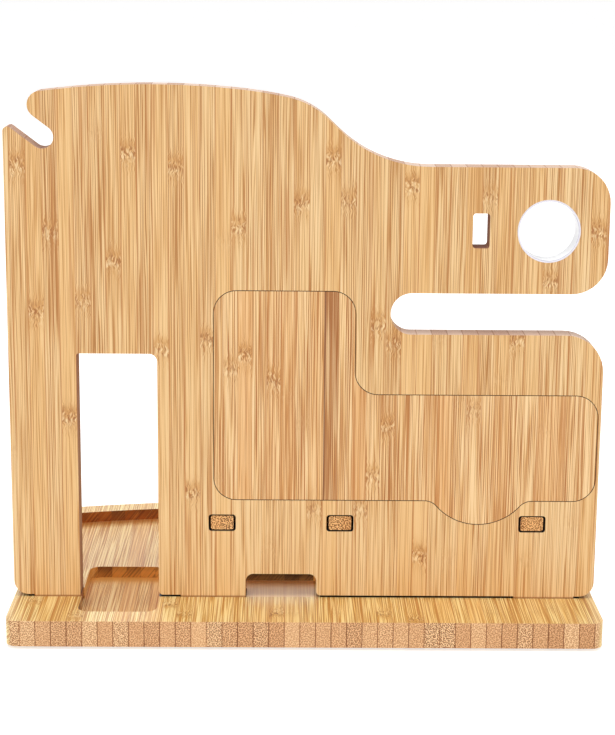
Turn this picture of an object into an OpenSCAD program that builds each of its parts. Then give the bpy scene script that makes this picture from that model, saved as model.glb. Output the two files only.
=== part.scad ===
// Bamboo charging dock: a base tray, an upright board that plugs into it on three
// tenons, and a shelf that plugs through the board. The board holds two wireless
// charging coils and their circuit board behind a flush cover.
// +Z is up, the front faces -Y, and the origin is the middle of the footprint on
// the table. Heights named _z are above the deck, the top of the base that the
// upright board stands on.

/* [Base tray] */
// Width of the base and of the upright board
dock_w = 296; // [292:1:310]
// Depth of the base at its middle
base_depth = 187; // [160:0.5:240]
// Depth of the deck behind the upright board
rear_deck = 36.5; // [32:0.5:60]
// How far the front edge bows out between its ends
front_bow = 20; // [8:1:30]
// Thickness of the base under the deck
deck_t = 13.2; // [10:0.1:20]
// Height of the raised front above the deck
rim_h = 6; // [3:0.5:12]
// Width of the front rim, the back rim and the divider
rim_w = 12; // [6:0.5:18]
// Width of the raised sides
side_w = 18; // [12:0.5:30]
// Gap between the upright board and the raised front
step_gap = 12.4; // [8:0.1:16]
// Width of the bay in front of the window
bay_w = 72; // [64:0.5:84]
// Radius of the base's corners in plan
base_corner_r = 6; // [3:0.5:12]
// Radius of the tray corners in plan
tray_corner_r = 4; // [2:0.5:8]
// Depth of the mortises and of the standing pocket
mortise_depth = 6; // [4:0.5:8]
// Reach of the standing pocket behind the upright board's rear face
pocket_back = 22.4; // [12:0.2:26]
// Reach of the standing pocket in front of the upright board's rear face
pocket_front = 46.4; // [36:0.2:70]
// Deck left between the standing pocket and the window's outer side
pocket_inset = 0.5; // [0:0.1:0.8]
// Radius of the standing pocket's corners in plan
pocket_r = 6; // [2:0.5:8]

/* [Feet] */
// Diameter of a rubber foot
foot_d = 16; // [8:1:24]
// Thickness of a rubber foot
foot_t = 1.5; // [1:0.1:3]
// Distance of a foot's middle from the base's side
foot_side = 22; // [14:1:40]
// Distance of a rear foot's middle from the rear edge
foot_rear = 14; // [12:1:30]
// Distance of a front foot's middle from the front edge at the middle
foot_front = 34; // [30:1:50]

/* [Upright board] */
// Height of the upright board's crown above the deck
board_h = 259.6; // [250:0.1:300]
// Thickness of the upright board
board_t = 13; // [12:0.1:16]
// Gap between the deck and the bottom of the upright board
shoulder_gap = 1; // [0.3:0.1:2]
// Radius of the board's lower corners
foot_corner_r = 7.5; // [3:0.5:12]
// Radius of the board's free lower corners beside the window and the notch
free_corner_r = 2; // [0.5:0.1:4]
// Reach of the tenons below the board
tenon_len = 6; // [3:0.1:7]
// Width of the tenon beside the window
tenon_side_w = 23.4; // [16:0.2:26]
// Width of the middle tenon
tenon_mid_w = 33.1; // [20:0.1:36]
// Width of the far tenon
tenon_far_w = 30.7; // [20:0.1:36]
// Distance from the window to the middle tenon
tenon_mid_inset = 11.2; // [10:0.1:12]
// Distance of the far tenon from the board's edge
tenon_far_inset = 10.2; // [10:0.1:16]
// Distance of the crown's top from the board's middle
crown_x = 75; // [72:0.5:80]
// Radius of the crown
crown_r = 417; // [400:1:440]
// Radius of the shoulder after the crown
shoulder_r = 210; // [190:1:230]
// Radius of the nose where the top turns down
nose_r = 39.4; // [30:0.2:46]
// Radius of the hollow that runs into the watch arm
hollow_r = 64.8; // [50:0.2:70]
// Angle at which the crown ends
turn_1 = 5.9; // [5:0.1:7]
// Angle at which the shoulder ends
turn_2 = 12.2; // [11:0.1:13]
// Angle of the slope between the nose and the hollow
turn_3 = 43.5; // [42:0.1:45]

/* [Hook] */
// Distance of the hook slot's inner end from the board's edge
hook_in = 18.9; // [17:0.1:21]
// Drop from the crown to the hook slot's inner end
hook_drop = 25.7; // [24:0.1:34]
// Width of the hook slot
hook_w = 11.2; // [8:0.1:12]
// Slope of the hook slot
hook_slope = 37; // [35:0.5:40]
// Radius of the tip below the hook slot
hook_tip_r = 2.3; // [1.5:0.1:3]
// Radius of the lobe above the hook slot
lobe_r = 6.6; // [5:0.1:6.8]

/* [Window and notch] */
// Width of the tall window
window_w = 40; // [34:0.5:44]
// Height of the tall window above the deck
window_top_z = 126.9; // [80:0.1:140]
// Distance of the window's middle from the board's middle
window_x = 94.3; // [90:0.1:98]
// Radius of the window's upper corner on the board's inner side
window_r = 4; // [1:0.5:10]
// Width of the cable notch
notch_w = 36; // [20:0.5:40]
// Height of the cable notch above the deck
notch_top_z = 12.4; // [8:0.1:16]
// Radius of the cable notch's corners
notch_r = 3.8; // [1:0.1:6]

/* [Watch arm] */
// Drop from the crown to the watch arm's upper edge
arm_drop = 38.7; // [36:0.1:41]
// Height of the watch arm
arm_h = 62.5; // [50:0.5:66]
// Radius of the watch arm's end corners
arm_r = 17.5; // [8:0.5:24]
// Height of the gap that takes the watch band
band_gap = 20.8; // [14:0.1:26]
// Distance of the band gap's inner end from the board's middle
band_gap_end = 41.4; // [38:0.1:50]
// Radius of the corner below the band gap
block_r = 19; // [8:0.5:24]
// Distance of the puck hole from the arm's end
puck_inset = 29.6; // [26:0.1:36]
// Diameter of the puck hole in the wood
puck_hole_d = 31.2; // [28:0.1:36]
// Wall of the puck hole's white liner
liner_wall = 1; // [0.8:0.1:2]
// Distance of the plug slot's middle from the puck hole's middle
plug_slot_pitch = 33.3; // [26:0.1:44]
// Width of the plug slot
plug_slot_w = 8.4; // [6:0.1:12]
// Height of the plug slot
plug_slot_h = 17.2; // [12:0.1:24]
// Radius of the plug slot's corners
plug_slot_r = 1.5; // [0.5:0.1:3]

/* [Charger cover] */
// Thickness of the flush cover
cover_t = 3.5; // [2.5:0.1:3.8]
// Distance of the cover from the board's end
cover_inset = 1.4; // [1.2:0.1:3]
// Distance from the board's middle to the cover's edge on the window side
cover_edge_x = 46.4; // [42:0.1:48]
// Width of the cover's upright part
cover_stem_w = 70.8; // [66:0.1:74]
// Height of the cover's bottom edge above the deck
cover_bottom_z = 51.6; // [50:0.1:54]
// Height of the cover's lower part
cover_low_h = 55.4; // [52:0.1:60]
// Height of the cover's top edge above the deck
cover_top_z = 159.3; // [156:0.1:164]
// Radius of the cover's corners
cover_r = 11.5; // [4:0.5:12]
// Radius of the bump over the earbuds coil
bump_r = 28.2; // [26:0.1:30]
// Radius of the fillets beside the bump
bump_fillet_r = 8; // [4:0.5:10]
// Gap around the cover
cover_gap = 0.3; // [0.1:0.05:0.5]

/* [Charging coils] */
// Wood left in front of the coils
skin_t = 2.5; // [2:0.1:3]
// Diameter of the phone coil
phone_coil_d = 50; // [40:1:52]
// Height of the phone coil's middle above the deck
phone_coil_z = 122; // [118:1:123]
// Diameter of the earbuds coil
buds_coil_d = 38; // [30:1:40]
// Distance of the earbuds coil's middle from the puck hole's middle
buds_coil_pitch = 30.9; // [28:0.1:31]
// Height of the earbuds coil's middle above the deck
buds_coil_z = 67.4; // [67:0.1:70]
// Thickness of a coil
coil_t = 1.5; // [1:0.1:1.8]
// Thickness of a ferrite plate
ferrite_t = 1.6; // [1:0.1:2]
// Share of a coil's diameter that its open middle takes
coil_bore = 0.4; // [0.3:0.05:0.5]
// Space between a coil and the wall of its well
coil_play = 4; // [3:0.5:4.5]

/* [Circuit board] */
// Width of the circuit board
pcb_w = 27; // [25:0.5:28]
// Height of the circuit board
pcb_h = 42; // [40:0.5:43]
// Thickness of the circuit board
pcb_t = 1.2; // [1:0.1:1.4]
// Height of the wood bosses under the circuit board
boss_h = 1.6; // [1.4:0.1:1.8]
// Wood left between the circuit board and the end of the upright board
end_wall = 4.2; // [3.8:0.1:4.8]
// Diameter of a screw's thread
screw_d = 1.8; // [1.4:0.1:2]
// Width of the socket shell
socket_w = 8.9; // [8.4:0.1:9.2]
// Height of the socket shell
socket_h = 3; // [2.8:0.1:3.1]
// Length of the socket shell
socket_len = 7.4; // [7:0.1:9]

/* [Shelf] */
// Width of the shelf
shelf_w = 183; // [176:1:188]
// Distance of the shelf's middle from the board's middle
shelf_x = 36.5; // [35:0.5:38]
// Depth of the shelf in front of the board
shelf_depth = 27; // [20:0.5:36]
// Thickness of the shelf
shelf_t = 9.5; // [8.8:0.1:12]
// Height of the shelf's lip above the shelf
lip_h = 6; // [3:0.5:12]
// Thickness of the shelf's lip
lip_t = 5; // [3:0.5:8]
// Radius of the shelf's front corners in plan
shelf_r = 8; // [2:0.5:10]
// Width of a through tenon of the shelf
peg_w = 11.4; // [10:0.1:12]
// Height of a through tenon of the shelf
peg_h = 7.3; // [6.6:0.1:7.6]
// Width of a shelf mortise
shelf_mortise_w = 13.7; // [12.8:0.1:15]
// Gap above and below a through tenon
peg_gap = 0.7; // [0.3:0.05:0.9]
// Height of the through tenons' middle above the deck
peg_z = 39.6; // [30:0.1:42]
// Distance of the first through tenon from the board's middle
peg_1_x = 42; // [41:0.1:43]
// Distance from the first through tenon to the second
peg_pitch_1 = 59.7; // [56:0.1:63]
// Distance from the second through tenon to the third
peg_pitch_2 = 97.5; // [94:0.1:100]

/* [Hidden] */
$fn = 64;

// Clearance between pieces that come apart
play = 0.3;
// Clearance between pieces that stay together
seat = 0.05;
// Overrun of a cut past the face it opens
over = 1;
// Land that carries the cover's edge around the circuit board's well
cover_ledge = 5.2;
// Distance of the white liner's ends from the board's faces
liner_recess = 0.2;
shelf_mortise_r = 1.5;
window_out_r = 1;

half_w = dock_w / 2;
deck_z = foot_t + deck_t;
top_of_base = deck_z + rim_h;
rear_y = base_depth / 2;
front_y = -base_depth / 2;
board_rear_y = rear_y - rear_deck;
board_front_y = board_rear_y - board_t;

// Base plan: the front edge is an arc through both front ends
bow_r = (pow(half_w, 2) + pow(front_bow, 2)) / (2 * front_bow);
bow_y = front_y + bow_r;
step_y = board_front_y - step_gap;
bay_out_x = half_w - side_w;
bay_in_x = bay_out_x - bay_w;
tray_in_x = bay_in_x - rim_w;
pocket_rear_y = board_rear_y + pocket_back;
pocket_front_y = board_rear_y - pocket_front;

// Upright board
board_bottom_z = shoulder_gap;
tenon_bottom_z = board_bottom_z - tenon_len;
window_in_x = window_x - window_w / 2;
window_out_x = window_x + window_w / 2;
mid_tenon_x = window_in_x - tenon_mid_inset;
notch_out_x = mid_tenon_x - tenon_mid_w;
far_tenon_x = -half_w + tenon_far_inset;
hook_z = board_h - hook_drop;
arm_top_z = board_h - arm_drop;
arm_bottom_z = arm_top_z - arm_h;
block_top_z = arm_bottom_z - band_gap;
puck_x = -half_w + puck_inset;
puck_z = (arm_top_z + arm_bottom_z) / 2;
plug_slot_x = puck_x + plug_slot_pitch;

// Cover and what lies behind it, as depths from the board's rear face
cover_far_x = -half_w + cover_inset;
cover_low_top_z = cover_bottom_z + cover_low_h;
stem_x = cover_edge_x - cover_stem_w / 2;
buds_x = puck_x + buds_coil_pitch;
well_depth = board_t - skin_t;
coil_back = well_depth - seat;
ferrite_back = coil_back - coil_t - seat;
foam_back = ferrite_back - ferrite_t - seat;
phone_well_r = phone_coil_d / 2 + coil_play;
buds_well_r = buds_coil_d / 2 + coil_play;
ferrite_margin = 1.5;
foam_inset = 2;
wall_x = -half_w + end_wall;
pcb_x = wall_x + play + pcb_w / 2;
pcb_edge_x = pcb_x + pcb_w / 2;
pcb_z = cover_bottom_z + cover_ledge + pcb_h / 2;
pcb_back = well_depth - boss_h;
pcb_face = pcb_back - pcb_t;
screw_inset = 3;
screw_head_r = 1.7;
screw_head_h = 1.2;
screw_grip = 3;
boss_r = 2.4;

// The socket lies on the circuit board, with its mouth just inside the board's end face
socket_x = -half_w + 0.6;
socket_depth = pcb_face - seat - socket_h / 2;
socket_wall = 0.3;
tongue_inset = 1;
tongue_w = 6.5;
tongue_t = 0.7;
insulator_len = 1.6;

// Parts on the circuit board: places from its middle, and width, height and thickness
inductor_place = [2, 9];
inductor_size = [6.6, 6.6, 2.8];
inductor_r = 1.2;
control_place = [1.5, 0];
control_size = [6, 6, 0.85];
bridge_places = [[4.5, -7.5], [4.5, -13]];
bridge_size = [5, 4, 1];
resonant_places = [[-3, -7], [-3, -10], [-3, -13], [-3, -16]];
input_places = [[-5.5, 7.5], [-5.5, 11]];
capacitor_size = [3.2, 2.4, 1.6];

// A coil's flat twin lead, in a channel that passes above the earbuds ferrite
lead_t = 1.2;
lead_w = 3;
lead_back = pcb_back - seat;
lead_on_pcb = 4;
phone_lead_z = buds_coil_z + buds_coil_d / 2 + ferrite_margin + lead_w;
phone_channel_h = 8;

// Shelf
peg_xs = [peg_1_x, peg_1_x - peg_pitch_1, peg_1_x - peg_pitch_1 - peg_pitch_2];
shelf_mortise_h = peg_h + 2 * peg_gap;
shelf_rear_y = board_front_y - play;
peg_recess = 0.4;
peg_r = 1;

// Points along an arc
function arc(c, r, a0, a1, n = 12) =
  [for (i = [0 : n]) let (a = a0 + (a1 - a0) * i / n) c + r * [cos(a), sin(a)]];

function unit(v) = v / norm(v);

// The turn from angle a to angle b, taken the short way
function short_turn(a, b) = (b - a) - 360 * round((b - a) / 360);

// Points that round the corner b between its neighbours a and c
function corner(a, b, c, r) =
  let (
    u = unit(a - b),
    v = unit(c - b),
    half = acos(u * v) / 2,
    mid = b + unit(u + v) * r / sin(half),
    start = b + u * r / tan(half) - mid,
    stop = b + v * r / tan(half) - mid,
    a0 = atan2(start[1], start[0]),
    turn = short_turn(a0, atan2(stop[1], stop[0]))
  )
  arc(mid, r, a0, a0 + turn, max(3, ceil(abs(turn) / 9)));

// A closed outline from corners given as [x, y, radius]
function rounded(pts) =
  let (n = len(pts), xy = [for (p = pts) [p[0], p[1]]])
  [for (i = [0 : n - 1])
    each pts[i][2] > 0
      ? corner(xy[(i + n - 1) % n], xy[i], xy[(i + 1) % n], pts[i][2])
      : [xy[i]]];

function rect_corners(x0, x1, y0, y1, r) = [[x0, y0, r], [x1, y0, r], [x1, y1, r], [x0, y1, r]];

// Where a front edge of radius r stands at x
function bow_edge_y(x, r) = bow_y - sqrt(pow(r, 2) - pow(x, 2));

// A flat piece in the board's plane, from a depth behind the rear face towards the front
module plate(back, t) {
  translate([0, board_rear_y - back, deck_z])
    rotate([90, 0, 0])
      linear_extrude(t)
        children();
}

// A block in the board's plane, between two depths from the rear face
module board_block(x0, x1, z0, z1, back, t) {
  plate(back, t)
    translate([x0, z0])
      square([x1 - x0, z1 - z0]);
}

// A cylinder across the board
module board_round(x, z, r, back, t) {
  translate([x, board_rear_y - back, deck_z + z])
    rotate([90, 0, 0])
      cylinder(r = r, h = t);
}

// Plan of a tray recess whose front wall follows the bowed front edge
module tray_plan(x0, x1, rear, wall) {
  r = tray_corner_r;
  inner_r = bow_r - wall;
  n = 16;
  far_0 = [x0, bow_edge_y(x0, inner_r)];
  far_1 = [x1, bow_edge_y(x1, inner_r)];
  next_0 = [x0 + 2 * r, bow_edge_y(x0 + 2 * r, inner_r)];
  next_1 = [x1 - 2 * r, bow_edge_y(x1 - 2 * r, inner_r)];
  front = [for (i = [0 : n])
    let (x = x0 + 2 * r + (x1 - x0 - 4 * r) * i / n)
    [x, bow_edge_y(x, inner_r)]];
  polygon(concat(
    corner([x0, rear], far_0, next_0, r),
    front,
    corner(next_1, far_1, [x1, rear], r),
    corner(far_1, [x1, rear], [x0, rear], r),
    corner([x1, rear], [x0, rear], far_0, r)
  ));
}

module base_plan() {
  r = base_corner_r;
  n = 40;
  reach = half_w - 2 * r;
  far_y = bow_edge_y(half_w, bow_r);
  near = [reach, bow_edge_y(reach, bow_r)];
  front = [for (i = [0 : n])
    let (x = reach - 2 * reach * i / n)
    [x, bow_edge_y(x, bow_r)]];
  polygon(concat(
    corner([-half_w, rear_y], [half_w, rear_y], [half_w, far_y], r),
    corner([half_w, rear_y], [half_w, far_y], near, r),
    front,
    corner([-near[0], near[1]], [-half_w, far_y], [-half_w, rear_y], r),
    corner([-half_w, far_y], [-half_w, rear_y], [half_w, rear_y], r)
  ));
}

// Mortises of the base for the three tenons of the upright board
module base_mortise(x0, x1) {
  translate([x0, board_front_y - play, deck_z - mortise_depth])
    cube([x1 - x0, board_t + 2 * play, mortise_depth + over]);
}

module base_tray() {
  color("burlywood")
    difference() {
      translate([0, 0, foot_t])
        linear_extrude(deck_t + rim_h)
          base_plan();
      // Deck behind the raised front
      translate([-half_w - over, step_y, deck_z])
        cube([dock_w + 2 * over, base_depth, rim_h + over]);
      // Bay in front of the window, open to the deck
      translate([0, 0, deck_z])
        linear_extrude(rim_h + over)
          tray_plan(bay_in_x, bay_out_x, step_y + 2 * tray_corner_r, rim_w);
      // Wide tray
      translate([0, 0, deck_z])
        linear_extrude(rim_h + over)
          tray_plan(-bay_out_x, tray_in_x, step_y - rim_w, rim_w);
      // Standing pocket under the window
      translate([0, 0, deck_z - mortise_depth])
        linear_extrude(mortise_depth + over)
          polygon(rounded(rect_corners(
            window_in_x, window_out_x - pocket_inset, pocket_front_y, pocket_rear_y, pocket_r)));
      base_mortise(window_out_x - over, window_out_x + tenon_side_w + play);
      base_mortise(notch_out_x - play, mid_tenon_x + play);
      base_mortise(far_tenon_x - play, far_tenon_x + tenon_far_w + play);
    }
}

module rubber_feet() {
  color("dimgray")
    for (x = [-half_w + foot_side, half_w - foot_side], y = [rear_y - foot_rear, front_y + foot_front])
      translate([x, y, 0])
        cylinder(d = foot_d, h = foot_t);
}

// A point at the angle a past the top of a circle, towards the watch arm
function crown_point(c, r, a) = c + r * [-sin(a), cos(a)];

// Outline of the upright board, anticlockwise from its lower corner on the window side
function board_outline() =
  let (
    crown_c = [crown_x, board_h - crown_r],
    turn_1_p = crown_point(crown_c, crown_r, turn_1),
    shoulder_c = crown_point(turn_1_p, -shoulder_r, turn_1),
    turn_2_p = crown_point(shoulder_c, shoulder_r, turn_2),
    nose_c = crown_point(turn_2_p, -nose_r, turn_2),
    turn_3_p = crown_point(nose_c, nose_r, turn_3),
    hollow_start_z = arm_top_z + hollow_r * (1 - cos(turn_3)),
    slope_len = (turn_3_p[1] - hollow_start_z) / sin(turn_3),
    hollow_start = turn_3_p - slope_len * [cos(turn_3), sin(turn_3)],
    hollow_c = crown_point(hollow_start, hollow_r, turn_3),
    along = [cos(hook_slope), sin(hook_slope)],
    across = [-sin(hook_slope), cos(hook_slope)],
    hook_c = [half_w - hook_in, hook_z],
    low_p = hook_c - across * hook_w / 2,
    tip = low_p + along * (half_w - low_p[0]) / along[0],
    lobe_c = lobe_centre(crown_c, hook_c, across),
    lobe_dir = unit(lobe_c - crown_c),
    lobe_a = atan2(lobe_dir[1], lobe_dir[0])
  )
  concat(
    corner([0, board_bottom_z], [half_w, board_bottom_z], tip, foot_corner_r),
    corner([half_w, board_bottom_z], tip, low_p, hook_tip_r),
    arc(hook_c, hook_w / 2, hook_slope - 90, hook_slope - 270, 20),
    arc(lobe_c, lobe_r, hook_slope - 90, lobe_a, 16),
    arc(crown_c, crown_r, lobe_a, 90 + turn_1, 24),
    arc(shoulder_c, shoulder_r, 90 + turn_1, 90 + turn_2, 6),
    arc(nose_c, nose_r, 90 + turn_2, 90 + turn_3, 10),
    arc(hollow_c, hollow_r, turn_3 - 90, -90, 14),
    corner([0, arm_top_z], [-half_w, arm_top_z], [-half_w, arm_bottom_z], arm_r),
    corner([-half_w, arm_top_z], [-half_w, arm_bottom_z], [0, arm_bottom_z], arm_r),
    arc([-band_gap_end - band_gap / 2, arm_bottom_z - band_gap / 2], band_gap / 2, 90, -90, 20),
    corner([0, block_top_z], [-half_w, block_top_z], [-half_w, board_bottom_z], block_r),
    corner([-half_w, block_top_z], [-half_w, board_bottom_z], [0, board_bottom_z], foot_corner_r)
  );

// Middle of the lobe that touches the crown from inside and the hook slot's upper side
function lobe_centre(crown_c, hook_c, across) =
  let (
    along = [across[1], -across[0]],
    start = hook_c + across * (hook_w / 2 + lobe_r),
    rel = start - crown_c,
    b = rel * along,
    c = rel * rel - pow(crown_r - lobe_r, 2)
  )
  start + along * (sqrt(pow(b, 2) - c) - b);

// Outline of the cover, drawn in by an inset all round
function cover_outline(inset) =
  let (
    r = cover_r - inset,
    bottom = cover_bottom_z + inset,
    low_top = cover_low_top_z - inset,
    left = cover_far_x + inset,
    right = cover_edge_x - inset,
    stem_left = cover_edge_x - cover_stem_w + inset,
    top = cover_top_z - inset,
    bump = bump_r - inset,
    fillet = bump_fillet_r + inset,
    drop = buds_coil_z - bottom + fillet,
    side = sqrt(pow(bump + fillet, 2) - pow(drop, 2)),
    a = atan2(drop, side)
  )
  concat(
    corner([0, bottom], [right, bottom], [right, top], r),
    corner([right, bottom], [right, top], [stem_left, top], r),
    corner([right, top], [stem_left, top], [stem_left, low_top], r),
    corner([stem_left, top], [stem_left, low_top], [left, low_top], cover_r + inset),
    corner([stem_left, low_top], [left, low_top], [left, bottom], r),
    corner([left, low_top], [left, bottom], [0, bottom], r),
    arc([buds_x - side, bottom - fillet], fillet, 90, a, 6),
    arc([buds_x, buds_coil_z], bump, a + 180, 360 - a, 20),
    arc([buds_x + side, bottom - fillet], fillet, 180 - a, 90, 6)
  );

module window_cut() {
  plate(-over, board_t + 2 * over)
    polygon(rounded([
      [window_in_x, tenon_bottom_z - over, 0],
      [window_out_x, tenon_bottom_z - over, 0],
      [window_out_x, window_top_z, window_out_r],
      [window_in_x, window_top_z, window_r]
    ]));
}

module notch_cut() {
  plate(-over, board_t + 2 * over)
    polygon(rounded([
      [notch_out_x - notch_w, board_bottom_z - over, 0],
      [notch_out_x, board_bottom_z - over, 0],
      [notch_out_x, notch_top_z, notch_r],
      [notch_out_x - notch_w, notch_top_z, notch_r]
    ]));
}

// Rounds a free lower corner of the board at x, where the wood lies on the side of smaller x
module free_corner(x) {
  mid_x = x - free_corner_r;
  mid_z = board_bottom_z + free_corner_r;
  difference() {
    board_block(mid_x, x + over, board_bottom_z - over, mid_z, -over, board_t + 2 * over);
    board_round(mid_x, mid_z, free_corner_r, -2 * over, board_t + 4 * over);
  }
}

module upright_board() {
  color("tan")
    difference() {
      union() {
        plate(0, board_t)
          polygon(board_outline());
        board_block(window_out_x, window_out_x + tenon_side_w, tenon_bottom_z, notch_top_z, 0, board_t);
        board_block(notch_out_x, mid_tenon_x, tenon_bottom_z, notch_top_z, 0, board_t);
        board_block(far_tenon_x, far_tenon_x + tenon_far_w, tenon_bottom_z, notch_top_z, 0, board_t);
      }
      window_cut();
      notch_cut();
      free_corner(window_in_x);
      free_corner(notch_out_x - notch_w);
      board_round(puck_x, puck_z, puck_hole_d / 2, -over, board_t + 2 * over);
      plate(-over, board_t + 2 * over)
        polygon(rounded(rect_corners(
          plug_slot_x - plug_slot_w / 2, plug_slot_x + plug_slot_w / 2,
          puck_z - plug_slot_h / 2, puck_z + plug_slot_h / 2, plug_slot_r)));
      for (x = peg_xs)
        plate(-over, board_t + 2 * over)
          polygon(rounded(rect_corners(
            x - shelf_mortise_w / 2, x + shelf_mortise_w / 2,
            peg_z - shelf_mortise_h / 2, peg_z + shelf_mortise_h / 2, shelf_mortise_r)));
      // Seat of the cover, the two coil wells, the lead channels and the circuit board's well
      plate(-over, cover_t + over)
        polygon(cover_outline(0));
      board_round(stem_x, phone_coil_z, phone_well_r, 0, well_depth);
      board_round(buds_x, buds_coil_z, buds_well_r, 0, well_depth);
      board_block(
        pcb_edge_x, stem_x + lead_w,
        phone_lead_z - lead_w / 2 - play, phone_lead_z + phone_channel_h - lead_w, 0, pcb_back);
      board_block(pcb_edge_x, buds_x, buds_coil_z - lead_w, buds_coil_z + lead_w, 0, pcb_back);
      difference() {
        board_block(
          wall_x, pcb_edge_x + play,
          pcb_z - pcb_h / 2 - play, pcb_z + pcb_h / 2 + play, 0, well_depth);
        screw_places(pcb_back)
          cylinder(r = boss_r, h = boss_h + over);
      }
      // Pilot holes for the circuit board's screws
      screw_places(pcb_back - over)
        cylinder(d = screw_d + 2 * seat, h = screw_grip + over + seat);
      // Mouth of the socket in the board's end face
      flat_bar(-half_w - over, wall_x + over, socket_w / 2 + play, socket_h / 2 + play);
    }
}

// Where the circuit board's screws go, from a depth behind the rear face, +Z into the wood
module screw_places(back) {
  for (sx = [-1, 1], sz = [-1, 1])
    translate([
      pcb_x + sx * (pcb_w / 2 - screw_inset),
      board_rear_y - back,
      deck_z + pcb_z + sz * (pcb_h / 2 - screw_inset)
    ])
      rotate([90, 0, 0])
        children();
}

// A flat bar with round edges along X, in the socket's place
module flat_bar(x0, x1, half_width, r) {
  translate([x0, board_rear_y - socket_depth, deck_z + pcb_z])
    rotate([0, 90, 0]) {
      for (s = [-1, 1])
        translate([s * (half_width - r), 0, 0])
          cylinder(r = r, h = x1 - x0);
      translate([r - half_width, -r, 0])
        cube([2 * (half_width - r), 2 * r, x1 - x0]);
    }
}

module charger_cover() {
  color("wheat")
    plate(0, cover_t - seat)
      polygon(cover_outline(cover_gap));
}

// White ring that lines the puck hole
module puck_liner() {
  color("white")
    difference() {
      board_round(
        puck_x, puck_z, puck_hole_d / 2 - seat, liner_recess, board_t - 2 * liner_recess);
      board_round(puck_x, puck_z, puck_hole_d / 2 - seat - liner_wall, -over, board_t + 2 * over);
    }
}

module coil(x, z, d) {
  color("peru")
    difference() {
      board_round(x, z, d / 2, coil_back - coil_t, coil_t);
      board_round(x, z, d * coil_bore / 2, coil_back - coil_t - over, coil_t + 2 * over);
    }
}

module ferrite(x, z, d) {
  color("darkslategray")
    board_round(x, z, d / 2 + ferrite_margin, ferrite_back - ferrite_t, ferrite_t);
}

// Foam between a ferrite and the cover, which holds the coil against the front
module foam(x, z, d) {
  color("gray")
    board_round(x, z, d / 2 - foam_inset, cover_t, foam_back - cover_t);
}

module phone_coil() {
  coil(stem_x, phone_coil_z, phone_coil_d);
}

module buds_coil() {
  coil(buds_x, buds_coil_z, buds_coil_d);
}

module phone_ferrite() {
  ferrite(stem_x, phone_coil_z, phone_coil_d);
}

module buds_ferrite() {
  ferrite(buds_x, buds_coil_z, buds_coil_d);
}

module phone_foam() {
  foam(stem_x, phone_coil_z, phone_coil_d);
}

module buds_foam() {
  foam(buds_x, buds_coil_z, buds_coil_d);
}

// The end of a lead that comes along X from x, steps up at the circuit board's edge and lies on it
module lead_end(x, z) {
  z0 = z - lead_w / 2;
  z1 = z + lead_w / 2;
  step_x = pcb_edge_x + play;
  top = pcb_face - seat - lead_t;
  board_block(step_x, x, z0, z1, lead_back - lead_t, lead_t);
  board_block(step_x, step_x + lead_t, z0, z1, top, lead_back - top);
  board_block(step_x - lead_on_pcb, step_x + lead_t, z0, z1, top, lead_t);
}

module phone_leads() {
  x0 = stem_x - lead_w / 2;
  x1 = stem_x + lead_w / 2;
  z0 = phone_lead_z - lead_w / 2;
  coil_z = phone_coil_z - phone_coil_d / 2 - seat;
  turn_z = coil_z - ferrite_margin - seat;
  under = ferrite_back + seat;
  color("firebrick")
    union() {
      lead_end(x1, phone_lead_z);
      board_block(x0, x1, z0, turn_z, lead_back - lead_t, lead_t);
      board_block(x0, x1, turn_z - lead_t, turn_z, lead_back - lead_t, coil_back - lead_back + lead_t);
      board_block(x0, x1, turn_z - lead_t, coil_z, under, coil_back - under);
    }
}

module buds_leads() {
  z0 = buds_coil_z - lead_w / 2;
  z1 = buds_coil_z + lead_w / 2;
  coil_x = buds_x - buds_coil_d / 2 - seat;
  turn_x = coil_x - ferrite_margin - seat;
  under = ferrite_back + seat;
  color("firebrick")
    union() {
      lead_end(turn_x, buds_coil_z);
      board_block(turn_x - lead_t, turn_x, z0, z1, lead_back - lead_t, coil_back - lead_back + lead_t);
      board_block(turn_x - lead_t, coil_x, z0, z1, under, coil_back - under);
    }
}

module circuit_board() {
  color("seagreen")
    difference() {
      plate(pcb_face, pcb_t)
        polygon(rounded(rect_corners(
          pcb_x - pcb_w / 2, pcb_edge_x, pcb_z - pcb_h / 2, pcb_z + pcb_h / 2, 1)));
      screw_places(pcb_face - over)
        cylinder(d = screw_d + 2 * play, h = pcb_t + 2 * over);
    }
}

module board_screws() {
  head_back = pcb_face - seat - screw_head_h;
  slot_len = 2;
  slot_w = 0.4;
  slot_deep = 0.7;
  color("silver")
    difference() {
      screw_places(head_back) {
        cylinder(r = screw_head_r, h = screw_head_h);
        cylinder(d = screw_d, h = pcb_back + screw_grip - head_back);
      }
      // Cross recess
      screw_places(head_back - over)
        for (a = [0, 90])
          rotate([0, 0, a])
            translate([-slot_len / 2, -slot_w / 2, 0])
              cube([slot_len, slot_w, over + slot_deep]);
    }
}

module socket_shell() {
  color("gainsboro")
    difference() {
      flat_bar(socket_x, socket_x + socket_len, socket_w / 2, socket_h / 2);
      flat_bar(
        socket_x - over, socket_x + socket_len - socket_wall,
        socket_w / 2 - socket_wall, socket_h / 2 - socket_wall);
    }
}

// Insulator at the back of the socket, with the tongue that carries the contacts
module socket_tongue() {
  gap = socket_wall + seat;
  stop_x = socket_x + socket_len - gap;
  start_x = stop_x - insulator_len;
  color("black")
    union() {
      flat_bar(start_x, stop_x, socket_w / 2 - gap, socket_h / 2 - gap);
      translate([
        socket_x + tongue_inset,
        board_rear_y - socket_depth - tongue_t / 2,
        deck_z + pcb_z - tongue_w / 2
      ])
        cube([stop_x - socket_x - tongue_inset - over / 2, tongue_t, tongue_w]);
    }
}

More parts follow.
